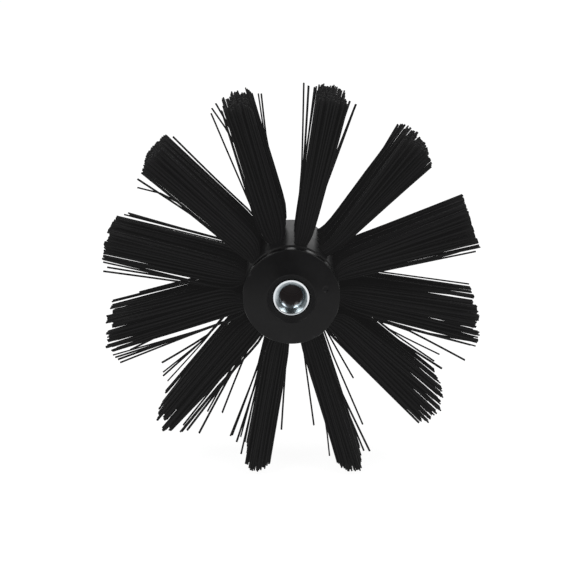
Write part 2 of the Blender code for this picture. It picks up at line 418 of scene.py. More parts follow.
@dataclass(frozen=True)
class ZincPlate(Finish):
    """Bright zinc plating over turned steel: fine rings round the axis and a faint cool bloom.

    Attributes:
        mouth: Place of the sleeve's end face along the axis.
        edge: Radii between which the duller plating of the mouth ends.
        bore_shade_depths: Depths behind the end face between which the bore is painted darker: painted shade
            in the bore.
        painted_glow: Painted light, a faint glow that lifts the bore's depth, from painted_glow_depths on.
        lead_end: Depths between which the countersink ends.
        lit_side: The side of the countersink that is painted lighter, as if lit from there: painted light.
    """

    colour: Colour = (0.78, 0.80, 0.82, 1.0)
    bloom_colour: Colour = (0.60, 0.66, 0.70, 1.0)
    bore_colour: Colour = (0.34, 0.41, 0.45, 1.0)
    # Painted shade: the colour that the bore darkens to, deep inside it, where the recess lies in shadow
    bore_shade_colour: Colour = (0.075, 0.072, 0.072, 1.0)
    # Painted light and shade: the countersink is painted light on one side and dark on the other, as if lit
    # from one side
    lead_shaded_colour: Colour = (0.20, 0.235, 0.25, 1.0)
    lead_lit_colour: Colour = (0.70, 0.76, 0.79, 1.0)
    # Painted light: a faint glow deep in the bore, as if lit there
    painted_glow: Colour = (0.0115, 0.0100, 0.0100, 1.0)
    roughness: float = 0.13
    bloom_scale: float = 260.0
    bloom_range: Point = (0.40, 0.75)
    bloom_share: float = 0.7
    bloom_roughness: float = 0.05
    ring_scale: float = 5200.0
    ring_depth: float = 0.004 * MM
    ring_roughness: float = 0.04
    mouth: float = -28.4 * MM
    edge: Point = (6.62 * MM, 6.80 * MM)
    bore_roughness: float = 0.05
    bore_shade_depths: Point = (2.2 * MM, 9.0 * MM)
    deep_roughness: float = 0.12
    painted_glow_depths: Point = (2.0 * MM, 5.0 * MM)
    lead_end: Point = (LEAD_DEPTH - 0.5 * MM, LEAD_DEPTH + 0.1 * MM)
    lit_side: tuple[float, float, float] = (-0.50, 0.0, 0.87)
    lit_side_range: Point = (0.05, 0.60)
    lead_roughness: float = 0.22

    def paint(self, graph: Graph, centre: Vector) -> None:
        """Fills the material's graph.

        Args:
            graph: The material's graph.
            centre: A point on the hub's axis.
        """
        place = graph.object_place()
        offset = graph.vector("SUBTRACT", place, tuple(centre)).outputs[0]
        radius = graph.from_axis(place, centre)
        along = graph.term("ShaderNodeSeparateXYZ", {}, {0: offset}, "Y")
        turned = graph.node("ShaderNodeCombineXYZ", {}, {0: radius, 1: along}).outputs[0]
        rings = graph.noise(turned, self.ring_scale, 2.0, 0.6)
        bloom = graph.ramp(graph.noise(place, self.bloom_scale, 3.0, 0.6), *self.bloom_range)
        depth = along + (centre.y - self.mouth)
        # The bore is painted darker with depth: painted shade where the recess is in shadow
        bore_shade = graph.ramp(depth, *self.bore_shade_depths)
        inside = 1.0 - graph.ramp(radius, *self.edge)
        lead = (1.0 - graph.ramp(depth, *self.lead_end)) * inside
        # One side of the countersink is painted lighter than the other: painted light
        side = Term(graph, graph.vector("DOT_PRODUCT", offset, self.lit_side).outputs["Value"]) / radius
        lit_share = graph.ramp(side, *self.lit_side_range)
        base = graph.mix(bloom * self.bloom_share, self.colour, self.bloom_colour)
        base = graph.mix(inside, base, self.bore_colour)
        base = graph.mix(bore_shade * inside, base, self.bore_shade_colour)
        base = graph.mix(lead, base, graph.mix(lit_share, self.lead_shaded_colour, self.lead_lit_colour))
        roughness = self.roughness + bloom * self.bloom_roughness + rings * self.ring_roughness
        roughness = roughness + inside * (bore_shade * self.deep_roughness + self.bore_roughness)
        roughness = roughness + lead * lit_share * self.lead_roughness
        # Painted light: the bore glows faintly in its depth
        glow = graph.mix(graph.ramp(depth, *self.painted_glow_depths) * inside, grey(0.0), self.painted_glow)
        graph.surface(
            {"Metallic": 1.0, "Emission Strength": 1.0},
            {"Base Color": base, "Roughness": roughness, "Emission Color": glow,
             "Normal": graph.bump(rings, self.ring_depth)},
        )


@dataclass(frozen=True)
class BristleNylon(Finish):
    """Black extruded nylon, satin, each strand a little different in tone and gloss."""

    colour: Colour = (0.0036, 0.0035, 0.0037, 1.0)
    light_colour: Colour = (0.0050, 0.0049, 0.0051, 1.0)
    # Painted light: a faint glow that lifts the shade between the strands
    painted_glow: Colour = (0.0074, 0.0073, 0.0074, 1.0)
    roughness: float = 0.55
    specular: float = 0.07
    tone_share: float = 0.8
    tone_roughness: float = 0.12
    scuff_scale: float = 700.0
    scuff_range: Point = (0.55, 0.75)
    scuff_share: float = 0.2
    scuff_roughness: float = 0.10
    grain_scale: float = 4000.0
    grain_depth: float = 0.008 * MM

    def paint(self, graph: Graph, centre: Vector) -> None:
        """Fills the material's graph.

        Args:
            graph: The material's graph.
            centre: A point on the hub's axis; not used.
        """
        tone = graph.strand_tone()
        place = graph.object_place()
        scuffs = graph.ramp(graph.noise(place, self.scuff_scale), *self.scuff_range)
        pale = tone * self.tone_share + scuffs * self.scuff_share
        grain = graph.noise(place, self.grain_scale, 1.0)
        graph.surface(
            {"Specular IOR Level": self.specular, "Emission Color": self.painted_glow, "Emission Strength": 1.0},
            {
                "Base Color": graph.mix(pale, self.colour, self.light_colour),
                "Roughness": self.roughness + tone * self.tone_roughness + scuffs * self.scuff_roughness,
                "Normal": graph.bump(grain, self.grain_depth),
            },
        )


@dataclass(frozen=True)
class CutNylon(Finish):
    """The sheared end of a bristle, torn a little and greyer than its side."""

    colour: Colour = (0.012, 0.012, 0.0125, 1.0)
    light_colour: Colour = (0.034, 0.034, 0.035, 1.0)
    roughness: float = 0.62
    specular: float = 0.2
    tone_share: float = 0.6
    torn_scale: float = 5000.0
    torn_share: float = 0.5
    torn_depth: float = 0.05 * MM

    def paint(self, graph: Graph, centre: Vector) -> None:
        """Fills the material's graph.

        Args:
            graph: The material's graph.
            centre: A point on the hub's axis; not used.
        """
        torn = graph.noise(graph.object_place(), self.torn_scale, 2.0, 0.7)
        pale = (graph.strand_tone() * self.tone_share + torn * self.torn_share).at_most(1.0)
        graph.surface(
            {"Roughness": self.roughness, "Specular IOR Level": self.specular},
            {
                "Base Color": graph.mix(pale, self.colour, self.light_colour),
                "Normal": graph.bump(torn, self.torn_depth),
            },
        )


def select_only(piece: bpy.types.Object) -> None:
    """Makes a piece the only selected one and the active one.

    Args:
        piece: The piece.
    """
    bpy.ops.object.select_all(action="DESELECT")
    piece.select_set(True)
    bpy.context.view_layer.objects.active = piece


def in_edit_mode(piece: bpy.types.Object, work: Callable[[], None]) -> None:
    """Runs modelling steps on a piece in edit mode.

    Args:
        piece: The piece.
        work: The steps.
    """
    select_only(piece)
    bpy.ops.object.mode_set(mode="EDIT")
    work()
    bpy.ops.object.mode_set(mode="OBJECT")


def settle(piece: bpy.types.Object) -> None:
    """Moves a piece's place into its mesh, so that its object sits unturned at the origin."""
    select_only(piece)
    bpy.ops.object.transform_apply(location=True, rotation=True, scale=True)


def apply_modifier(piece: bpy.types.Object, kind: str, **settings: object) -> None:
    """Adds a modifier to a piece and applies it.

    Args:
        piece: Object that gets it.
        kind: The modifier's type.
        settings: Its properties.
    """
    modifier = piece.modifiers.new(kind.lower(), kind)
    for name, value in settings.items():
        setattr(modifier, name, value)
    select_only(piece)
    bpy.ops.object.modifier_apply(modifier=modifier.name)


def facing_out() -> None:
    """Merges doubles and turns every face of the mesh being edited outwards."""
    bpy.ops.mesh.select_all(action="SELECT")
    bpy.ops.mesh.remove_doubles(threshold=MERGE_DISTANCE)
    bpy.ops.mesh.normals_make_consistent(inside=False)
    bpy.ops.mesh.select_all(action="DESELECT")


def shade(piece: bpy.types.Object, angle: float = 32.0) -> None:
    """Shades a piece smooth, except at edges sharper than an angle in degrees."""
    select_only(piece)
    bpy.ops.object.shade_smooth_by_angle(angle=math.radians(angle))


def corner(radius: float, y: float, size: float, start: float, stop: float, steps: int = 6) -> list[Point]:
    """Points of a rounded corner in a turned outline.

    Args:
        radius: Radius, from the axis, of the round's centre.
        y: Place of the round's centre along the axis.
        size: Radius of the round.
        start: Angle of its first point in degrees, 0 outwards and 90 towards +Y.
        stop: Angle of its last point.
        steps: Faces round it.

    Returns:
        Points of (radius, y).
    """
    angles = [math.radians(start + (stop - start) * step / steps) for step in range(steps + 1)]
    return [(radius + size * math.cos(a), y + size * math.sin(a)) for a in angles]


@dataclass
class Lathe:
    """Turns outlines round the hub's axis, ring by ring, as by extruding and scaling a circle."""

    axis: Vector
    segments: int = 160

    def turn(self, name: str, outline: Sequence[Point], ends: Ends) -> bpy.types.Object:
        """Turns an outline.

        Args:
            name: Name of the new piece.
            outline: Points of (radius, y).
            ends: Whether the first and last rings are capped or joined to each other.

        Returns:
            The piece.
        """
        radius, y = outline[0]
        cap = "NGON" if ends is Ends.CAPPED else "NOTHING"
        bpy.ops.object.select_all(action="DESELECT")
        bpy.ops.mesh.primitive_circle_add(
            vertices=self.segments,
            radius=radius,
            fill_type=cap,
            location=(self.axis.x, y, self.axis.z),
            rotation=(math.pi / 2, 0.0, 0.0),
        )
        piece = bpy.context.object
        piece.name = name
        settle(piece)
        in_edit_mode(piece, lambda: self._grow(outline, ends))
        return piece

    def _grow(self, outline: Sequence[Point], ends: Ends) -> None:
        """Extrudes and scales the circle along the rest of the outline.

        Args:
            outline: Points of (radius, y), the circle's own first.
            ends: Whether the last ring is capped or runs on to the first.
        """
        bpy.ops.mesh.select_mode(type="EDGE")
        bpy.ops.mesh.select_all(action="SELECT")
        rest = list(outline[1:]) + ([outline[0]] if ends is Ends.JOINED else [])
        for (old_radius, old_y), (radius, y) in zip(outline, rest):
            bpy.ops.mesh.extrude_edges_move(TRANSFORM_OT_translate={"value": (0.0, y - old_y, 0.0)})
            ratio = radius / old_radius
            middle = (self.axis.x, y, self.axis.z)
            bpy.ops.transform.resize(value=(ratio, 1.0, ratio), center_override=middle)
        if ends is Ends.CAPPED:
            bpy.ops.mesh.edge_face_add()
        facing_out()


@dataclass
class Part:
    """What every sub-assembly of the head has: a place for its pieces and a way to hand them to the frame."""

    axis: Vector

    def fit(self, piece: bpy.types.Object, finishes: Sequence[Finish], slot: Slot, *nodes: str) -> None:
        """Dresses a piece and hands it to the frame.

        Args:
            piece: The finished piece.
            finishes: One finish for each of its material slots.
            slot: The record's slot; not used.
            nodes: The CAD nodes that it stands for.
        """
        piece.data.materials.clear()
        for finish in finishes:
            name = f"{piece.name}_{type(finish).__name__}"
            piece.data.materials.append(finish.material(name, self.axis))
        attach(piece, "root")
        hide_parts(*nodes)
        LOG.info("%s: %d faces", piece.name, len(piece.data.polygons))


@dataclass
class DrumHub(Part):
    """The moulded drum that holds the tufts, its front plate and its rear plug.

    Attributes:
        socket_countersink: Width of the bevel round a socket's mouth.
        cap_radius: Radius of the small cap that closes the drum's outline at the axis.
        edge: Rounding of the drum's ends.
        rear_step: The step in the drum's rear face: its distance from the wall, and its depth.
        crest_width: Width of the rounded crest between the plate's cone and its dish.
        cone_rings: Where the plate's cone has rings, as shares of its length.
        back_bevel: Bevel at the back of the plate's rim.
        smooth_angle: Sharpest edge of the plate that is shaded smooth, in degrees.
        plug_cap_radius: Radius of the small cap that closes the plug's outline.
        plug_rim: Widths of the plug's low rim, at its foot and on top.
        plug_dip: Depth of the plug's face below that rim.
    """

    socket_diameter: float = 6.0 * MM
    socket_countersink: float = 0.1 * MM
    socket_sides: int = 24
    cap_radius: float = 1.0 * MM
    edge: float = 1.0 * MM
    rear_step: Point = (3.2 * MM, 0.1 * MM)
    plate_rim: float = 4.3 * MM
    plate_edge: float = 0.6 * MM
    groove_depth: float = 1.5 * MM
    crest_height: float = 2.9 * MM
    crest_width: float = 0.7 * MM
    dish_width: float = 2.5 * MM
    dish_depth: float = 2.3 * MM
    cone_rings: tuple[float, ...] = (0.05, 0.2, 0.4, 0.6, 0.8, 0.95)
    back_bevel: float = 0.25 * MM
    smooth_angle: float = 25.0
    plug_cap_radius: float = 0.8 * MM
    plug_skirt: float = 1.6 * MM
    plug_face: float = 2.2 * MM
    plug_rim: Point = (2.6 * MM, 2.2 * MM)
    plug_dip: float = 0.35 * MM
    plug_edge: float = 0.6 * MM
    finish: MouldedPlastic = field(default_factory=MouldedPlastic)
    plate_finish: MouldedPlastic = field(default_factory=lambda: MouldedPlastic(mark_radius=1.5 * MM))
    # The drum's faint glow is painted light that lifts the shade between the tufts
    drum_finish: MouldedPlastic = field(default_factory=lambda: MouldedPlastic(
        roughness=0.34, specular=0.085, painted_glow=grey(0.0042)
    ))

    def build(self, columns: Sequence["Column"]) -> None:
        """Builds the drum, the plate and the plug.

        Args:
            columns: The columns of tufts whose sockets the drum holds.
        """
        lathe = Lathe(self.axis)
        self._build_drum(lathe, columns)
        self._build_plate(lathe)
        self._build_plug(lathe)

    def _build_drum(self, lathe: Lathe, columns: Sequence["Column"]) -> None:
        """The drum: a turned body with the insert's pocket, the rear hollow and a socket for each tuft.

        Args:
            lathe: Turns its outline.
            columns: The columns of tufts whose sockets it holds.
        """
        low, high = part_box("hub_barrel")
        plug_low, plug_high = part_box("rear_plug")
        insert_low, insert_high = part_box("threaded_insert")
        radius = (high.x - low.x) / 2
        hollow = (plug_high.x - plug_low.x) / 2 + CLEARANCE
        floor = plug_low.y - CLEARANCE
        core = insert_high.y + CLEARANCE
        pocket = (insert_high.z - insert_low.z) / 2 + CLEARANCE
        edge = self.edge
        step, sunk = radius - self.rear_step[0], high.y - self.rear_step[1]
        outline = [(self.cap_radius, core), (pocket, core), (pocket, low.y)]
        outline += corner(radius - edge, low.y + edge, edge, -90.0, 0.0)
        outline += corner(radius - edge, high.y - edge, edge, 0.0, 90.0)
        outline += [(step, high.y), (step, sunk), (hollow, sunk), (hollow, floor), (self.cap_radius, floor)]
        drum = lathe.turn("drum", outline, Ends.CAPPED)
        cutter = self._socket_cutter(columns, radius)
        apply_modifier(drum, "BOOLEAN", operation="DIFFERENCE", solver="EXACT", object=cutter)
        bpy.data.objects.remove(cutter)
        shade(drum)
        self.fit(drum, [self.drum_finish], Slot.HUB, "hub_barrel")

    def _socket_cutter(self, columns: Sequence["Column"], radius: float) -> bpy.types.Object:
        """Every socket as one cutter: a round hole with a countersunk mouth, modelled once and copied.

        Args:
            columns: The columns of tufts whose sockets it cuts.
            radius: Radius of the drum.

        Returns:
            The cutter.
        """
        hole = self.socket_diameter / 2
        bpy.ops.object.select_all(action="DESELECT")
        bpy.ops.mesh.primitive_circle_add(vertices=self.socket_sides, radius=hole, fill_type="NGON")
        pattern = bpy.context.object
        steps = [
            (radius - self.socket_countersink - TUFT_FLOOR, 0.0),
            (self.socket_countersink, self.socket_countersink),
            (self.edge, self.edge),
        ]

        def deepen() -> None:
            """Extrudes the hole's floor out to its mouth, and flares it there."""
            bpy.ops.mesh.select_all(action="SELECT")
            size = hole
            for rise, flare in steps:
                bpy.ops.mesh.extrude_region_move(TRANSFORM_OT_translate={"value": (0.0, 0.0, rise)})
                ratio = (size + flare) / size
                bpy.ops.transform.resize(value=(ratio, ratio, 1.0), center_override=(0.0, 0.0, 0.0))
                size += flare
            facing_out()

        in_edit_mode(pattern, deepen)
        copies = []
        for column in columns:
            for row in range(column.rows):
                copy = pattern.copy()
                copy.data = pattern.data.copy()
                copy.data.transform(column.place(row) @ Matrix.Translation((0.0, 0.0, TUFT_FLOOR)))
                bpy.context.scene.collection.objects.link(copy)
                copies.append(copy)
        bpy.data.objects.remove(pattern)
        bpy.ops.object.select_all(action="DESELECT")
        for copy in copies:
            copy.select_set(True)
        bpy.context.view_layer.objects.active = copies[0]
        bpy.ops.object.join()
        return bpy.context.object

    def _build_plate(self, lathe: Lathe) -> None:
        """The front plate: a low cone that rises to a crest, dished inside it, with a groove behind the rim.

        Args:
            lathe: Turns its outline.
        """
        low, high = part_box("front_end_plate")
        radius = (high.x - low.x) / 2
        face = low.y + self.crest_height
        back = face + self.plate_rim
        bore = SLEEVE_RADIUS + CLEARANCE
        crest = bore + self.dish_width
        edge, land = self.plate_edge, self.crest_width / 2
        slope = math.degrees(math.atan2(self.crest_height, radius - crest))
        dish = math.degrees(math.atan2(self.dish_depth, self.dish_width))
        outline = [(bore, low.y + self.dish_depth)]
        outline += corner(crest, low.y + land, land, -90.0 - dish, -90.0 + slope)
        rim = corner(radius - edge, face + edge, edge, -90.0 + slope, 0.0, 8)
        start, stop = outline[-1], rim[0]
        for share in self.cone_rings:
            outline.append(tuple(near + (far - near) * share for near, far in zip(start, stop)))
        outline += rim
        outline += [(radius, back - self.back_bevel), (radius - self.back_bevel, back)]
        outline += [(radius - self.groove_depth, back), (radius - self.groove_depth, high.y), (bore, high.y)]
        plate = lathe.turn("front_plate", outline, Ends.JOINED)
        shade(plate, self.smooth_angle)
        self.fit(plate, [self.plate_finish], Slot.HUB, "front_end_plate")

    def _build_plug(self, lathe: Lathe) -> None:
        """The rear plug: a shallow cup pressed into the drum's hollow, with a low rim and a dished face.

        Args:
            lathe: Turns its outline.
        """
        low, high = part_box("rear_plug")
        radius = (high.x - low.x) / 2
        edge, wall = self.plug_edge, radius - self.plug_skirt
        sunk, floor = high.y - self.plug_dip, high.y - self.plug_face
        foot, top = self.plug_rim
        outline = [(self.plug_cap_radius, sunk), (radius - foot, sunk), (radius - top, high.y)]
        outline += corner(radius - edge, high.y - edge, edge, 90.0, 0.0)
        outline += [(radius, low.y), (wall, low.y), (wall, floor), (self.plug_cap_radius, floor)]
        plug = lathe.turn("rear_cap", outline, Ends.CAPPED)
        shade(plug)
        self.fit(plug, [self.finish], Slot.HUB, "rear_plug")


@dataclass
class ThreadedInsert(Part):
    """The plated steel insert: a sleeve with a threaded, countersunk bore, and a hexagon in the drum.

    Attributes:
        mouth_edge: Rounding where the countersink meets the end face.
        cap_radius: Radius of the small cap that closes the outline at the axis.
        drill_point: Depth of the drilled point behind the bore's floor.
        runout: Plain length of the bore behind its thread.
        sleeve_end: How far the sleeve's hidden end stays inside the hexagon.
        core_wall: How deep the sleeve's wall is let into the hexagon.
        core_floor: Thickness of the hexagon behind the space that is cleared for the bore.
        rows_per_turn: Rings of points in each turn of the thread.
        crest: Height and slope of the thread's wave, before it is cut off at crest and root.
        smooth_angle: Sharpest edge that is shaded smooth, in degrees.
    """

    pitch: float = 1.75 * MM
    minor_diameter: float = 10.1 * MM
    major_diameter: float = 12.0 * MM
    thread_depth: float = 24.0 * MM
    mouth_diameter: float = 13.6 * MM
    mouth_edge: float = 0.12 * MM
    sleeve_edge: float = 0.12 * MM
    cap_radius: float = 0.5 * MM
    drill_point: float = 2.2 * MM
    runout: float = 1.0 * MM
    sleeve_end: float = 0.3 * MM
    core_wall: float = 0.4 * MM
    core_floor: float = 2.0 * MM
    hexagon_across_flats: float = 17.0 * MM
    hexagon_length: float = 19.0 * MM
    rows_per_turn: int = 12
    crest: Point = (1.35, 2.9)
    segments: int = 96
    smooth_angle: float = 30.0
    finish: ZincPlate = field(default_factory=ZincPlate)

    def build(self) -> None:
        """Builds the insert."""
        low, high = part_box("threaded_insert")
        bore = self.minor_diameter / 2
        mouth, edge = self.mouth_diameter / 2, self.mouth_edge
        floor = low.y + self.thread_depth
        lead, thread_end = low.y + LEAD_DEPTH, floor - self.runout
        outline = [(self.cap_radius, floor + self.drill_point), (bore, floor), (bore, thread_end)]
        outline += [(bore, lead)]
        outline += [(mouth - edge, low.y + edge), (mouth + edge, low.y)]
        outline += [(SLEEVE_RADIUS - self.sleeve_edge, low.y), (SLEEVE_RADIUS, low.y + self.sleeve_edge)]
        outline += [(SLEEVE_RADIUS, high.y - self.sleeve_end), (self.cap_radius, high.y - self.sleeve_end)]
        insert = Lathe(self.axis, self.segments).turn("steel_insert", outline, Ends.CAPPED)
        self._cut_thread(insert, lead, thread_end)
        self._join_hexagon(insert, high.y)
        shade(insert, self.smooth_angle)
        self.fit(insert, [self.finish], Slot.STEEL, "threaded_insert")

    def _cut_thread(self, insert: bpy.types.Object, start: float, stop: float) -> None:
        """Divides the bore into fine rows and draws each point out to the thread's helix.

        Args:
            insert: The sleeve.
            start: Where the bore begins behind its countersink.
            stop: Where the thread runs out.
        """
        cuts = round((stop - start) / self.pitch * self.rows_per_turn)
        bore = self.minor_diameter / 2
        tolerance = 0.01 * MM

        def on_bore(point: Vector) -> bool:
            """True for a point on the bore's wall."""
            radius = math.hypot(point.x - self.axis.x, point.z - self.axis.z)
            return abs(radius - bore) < tolerance and start - tolerance < point.y < stop + tolerance

        mesh = insert.data
        for edge in mesh.edges:
            ends = [mesh.vertices[index].co for index in edge.vertices]
            long = abs(ends[0].y - ends[1].y) > (stop - start) / 2
            edge.select = long and all(on_bore(end) for end in ends)
        select_only(insert)
        bpy.ops.object.mode_set(mode="EDIT")
        bpy.ops.mesh.select_mode(type="EDGE")
        bpy.ops.mesh.subdivide_edgering(number_cuts=cuts, interpolation="LINEAR")
        bpy.ops.object.mode_set(mode="OBJECT")
        depth = (self.major_diameter - self.minor_diameter) / 2
        height, slope = self.crest
        for vertex in insert.data.vertices:
            point = vertex.co
            if not on_bore(point) or point.y < start + tolerance or point.y > stop - tolerance:
                continue
            turn = math.atan2(point.z - self.axis.z, point.x - self.axis.x) / (2 * math.pi)
            phase = ((point.y - start) / self.pitch + turn) % 1.0
            wave = min(1.0, max(0.0, height - slope * abs(phase - 0.5)))
            fade = min(1.0, (point.y - start) / self.pitch, (stop - point.y) / self.pitch)
            grow = 1.0 + depth * wave * fade / bore
            vertex.co.x = self.axis.x + (point.x - self.axis.x) * grow
            vertex.co.z = self.axis.z + (point.z - self.axis.z) * grow

    def _join_hexagon(self, insert: bpy.types.Object, back: float) -> None:
        """Joins the hexagon that the drum holds to the sleeve's hidden end.

        Args:
            insert: The sleeve.
            back: Place of the hexagon's back along the axis.
        """
        hexagon = self._bar(6, self.hexagon_across_flats / math.sqrt(3), self.hexagon_length, back)
        wall, front = SLEEVE_RADIUS - self.core_wall, back - self.core_floor
        core = self._bar(self.segments, wall, self.thread_depth, front)
        apply_modifier(hexagon, "BOOLEAN", operation="DIFFERENCE", solver="EXACT", object=core)
        apply_modifier(insert, "BOOLEAN", operation="UNION", solver="EXACT", object=hexagon)
        for tool in (hexagon, core):
            bpy.data.objects.remove(tool)

    def _bar(self, sides: int, radius: float, length: float, back: float) -> bpy.types.Object:
        """A straight bar along the axis.

        Args:
            sides: Its sides.
            radius: Radius to its corners.
            length: Its length.
            back: Place of its back along the axis.

        Returns:
            The bar.
        """
        bpy.ops.object.select_all(action="DESELECT")
        bpy.ops.mesh.primitive_cylinder_add(
            vertices=sides,
            radius=radius,
            depth=length,
            location=(self.axis.x, back - length / 2, self.axis.z),
            rotation=(math.pi / 2, 0.0, 0.0),
        )
        bar = bpy.context.object
        settle(bar)
        return bar


@dataclass(frozen=True)
class Stray:
    """A strand that has bent away from its tuft. Lengths in millimetres.

    Attributes:
        row: The tuft's row, from 1.
        across: Place of its tip round the drum, clockwise from the column's own line.
        reach: Its tip's distance from the axis.
        leaves: Distance from the axis at which it leaves the tuft.
    """

    row: int
    across: float
    reach: float
    leaves: float


@dataclass(frozen=True)
class Wear:
    """How use has shaped a column of tufts. Lengths in millimetres.

    Attributes:
        foot: Anticlockwise and clockwise edges of the tuft, round the drum, at its shoulder.
        tip: The same edges at its tips.
        reach: Distance of its longest ends from the axis.
        locks: How far the tips gather into wisps, from 0 to 1.
        ragged: How unevenly the wisps are trimmed.
        trim: How much shorter the ends are at even steps from the anticlockwise edge to the clockwise one.
        strays: Strands that have bent away.
        lean: How far its tips lean towards the mouth.
    """

    foot: tuple[float, float]
    tip: tuple[float, float]
    reach: float
    locks: float
    ragged: float
    trim: tuple[float, ...] = (0.6, 0.2, 0.0, 0.2, 0.6)
    strays: tuple[Stray, ...] = ()
    lean: float = 0.0


WEAR = (
    Wear((-3.2, 4.8), (-5.8, 6.9), 83.2, 0.25, 0.5, (1.2, 0.3, 0.0, 0.2, 1.0), (
        Stray(4, -11.2, 82.6, 36.0), Stray(4, -9.0, 81.7, 40.0), Stray(4, -6.4, 81.3, 62.0),
        Stray(4, -5.6, 81.6, 60.0), Stray(3, -6.6, 80.9, 56.0),
        Stray(3, 9.0, 80.3, 50.0), Stray(3, 11.7, 80.2, 34.0), Stray(3, 11.9, 79.8, 24.0),
    )),
    Wear((-1.9, 5.3), (-7.0, 9.6), 81.3, 0.22, 0.6, (1.8, 0.8, 0.0, 0.8, 2.2), (
        Stray(3, -9.3, 79.8, 52.0), Stray(4, -5.9, 79.7, 56.0), Stray(4, -5.3, 80.1, 62.0),
    )),
    Wear((-6.1, 4.0), (-9.0, 8.2), 81.7, 0.03, 0.2, (0.1, 0.6, 0.9, 0.6, 0.1), (
        Stray(1, 6.6, 80.3, 66.0), Stray(1, 7.5, 79.8, 46.0), Stray(1, 9.1, 79.2, 34.0),
    )),
    Wear((-5.6, 7.2), (-8.3, 10.2), 83.6, 0.42, 1.2, (4.4, 1.8, 0.8, 0.0, 0.0), (
        Stray(1, 10.1, 80.8, 64.0), Stray(1, 8.6, 81.0, 60.0), Stray(1, 17.4, 81.3, 48.0),
    )),
    Wear((-7.9, 4.4), (-9.0, 7.9), 83.3, 0.36, 2.0, (3.4, 0.6, 0.0, 0.4, 1.6), (
        Stray(4, -14.6, 75.7, 48.0), Stray(4, -10.9, 75.3, 50.0), Stray(1, 7.9, 80.4, 50.0),
        Stray(1, 7.0, 78.8, 48.0), Stray(3, -12.6, 77.5, 44.0),
    )),
    Wear((-4.6, 4.6), (-4.0, 6.0), 82.0, 0.20, 0.4, (0.4, 0.0, 0.0, 0.2, 3.0), (
        Stray(4, -10.3, 56.9, 24.0), Stray(4, -7.5, 78.4, 38.0), Stray(1, -9.0, 80.1, 36.0),
        Stray(1, -6.6, 79.3, 40.0), Stray(2, 9.1, 80.4, 62.0), Stray(4, 13.1, 72.2, 22.0),
    ), lean=5.0),
    Wear((-4.9, 5.6), (-6.3, 4.2), 82.0, 0.20, 0.4, (2.8, 0.6, 0.0, 0.4, 2.6), (
        Stray(4, 10.7, 80.0, 38.0), Stray(4, 6.9, 79.2, 42.0), Stray(2, 6.1, 79.9, 44.0),
        Stray(3, 8.6, 79.0, 40.0), Stray(3, 11.8, 77.0, 36.0), Stray(4, -10.2, 72.9, 30.0),
    )),
    Wear((-6.2, 8.0), (-5.2, 4.8), 84.6, 0.40, 1.9, (1.6, 0.6, 0.4, 0.6, 1.6), (
        Stray(4, 14.1, 72.1, 44.0), Stray(4, 11.1, 74.1, 44.0), Stray(4, 9.5, 76.0, 46.0),
        Stray(4, 6.8, 75.6, 48.0), Stray(1, 5.0, 80.8, 50.0), Stray(1, -7.6, 80.4, 48.0),
        Stray(1, -7.2, 80.9, 50.0), Stray(2, -8.2, 81.0, 40.0), Stray(1, -9.1, 79.0, 38.0),
        Stray(2, -15.6, 80.0, 36.0), Stray(4, -16.0, 76.3, 30.0), Stray(4, -20.9, 73.2, 26.0),
    )),
    Wear((-4.6, 9.4), (-3.2, 12.0), 82.6, 0.32, 1.6, (0.8, 0.2, 0.4, 1.4, 3.0), (
        Stray(4, 11.6, 67.3, 34.0), Stray(1, -4.6, 80.6, 30.0), Stray(1, -6.1, 80.1, 28.0),
        Stray(1, -7.5, 79.6, 26.0), Stray(4, -11.7, 79.6, 28.0), Stray(1, -3.2, 81.0, 34.0),
        Stray(1, 13.4, 79.1, 50.0),
    )),
    Wear((-6.6, 6.4), (-4.9, 8.7), 82.0, 0.15, 1.0, (1.0, 0.3, 0.0, 0.6, 1.6), (
        Stray(4, 8.9, 76.7, 46.0), Stray(4, 9.6, 75.3, 40.0), Stray(4, 9.2, 74.5, 42.0),
        Stray(1, -4.2, 80.9, 36.0), Stray(1, -4.7, 80.6, 38.0), Stray(1, -5.3, 80.2, 36.0),
        Stray(1, -7.7, 78.4, 30.0), Stray(1, -9.5, 79.9, 26.0),
    )),
    Wear((-3.1, 8.2), (-3.6, 10.0), 81.2, 0.12, 0.3, (0.4, 0.1, 0.0, 0.0, 0.0), (
        Stray(4, 10.6, 78.1, 46.0), Stray(1, -3.9, 80.0, 62.0), Stray(1, -6.9, 79.7, 50.0),
        Stray(1, -10.0, 77.6, 63.0),
    )),
    Wear((-5.8, 7.1), (-3.9, 8.5), 82.4, 0.25, 1.0, (1.6, 1.2, 0.4, 0.0, 2.4), (
        Stray(3, -9.1, 80.0, 62.0), Stray(4, -7.9, 79.5, 60.0), Stray(2, -9.1, 79.7, 30.0),
        Stray(3, 11.7, 80.1, 54.0), Stray(3, 12.8, 79.7, 54.0),
    )),
)


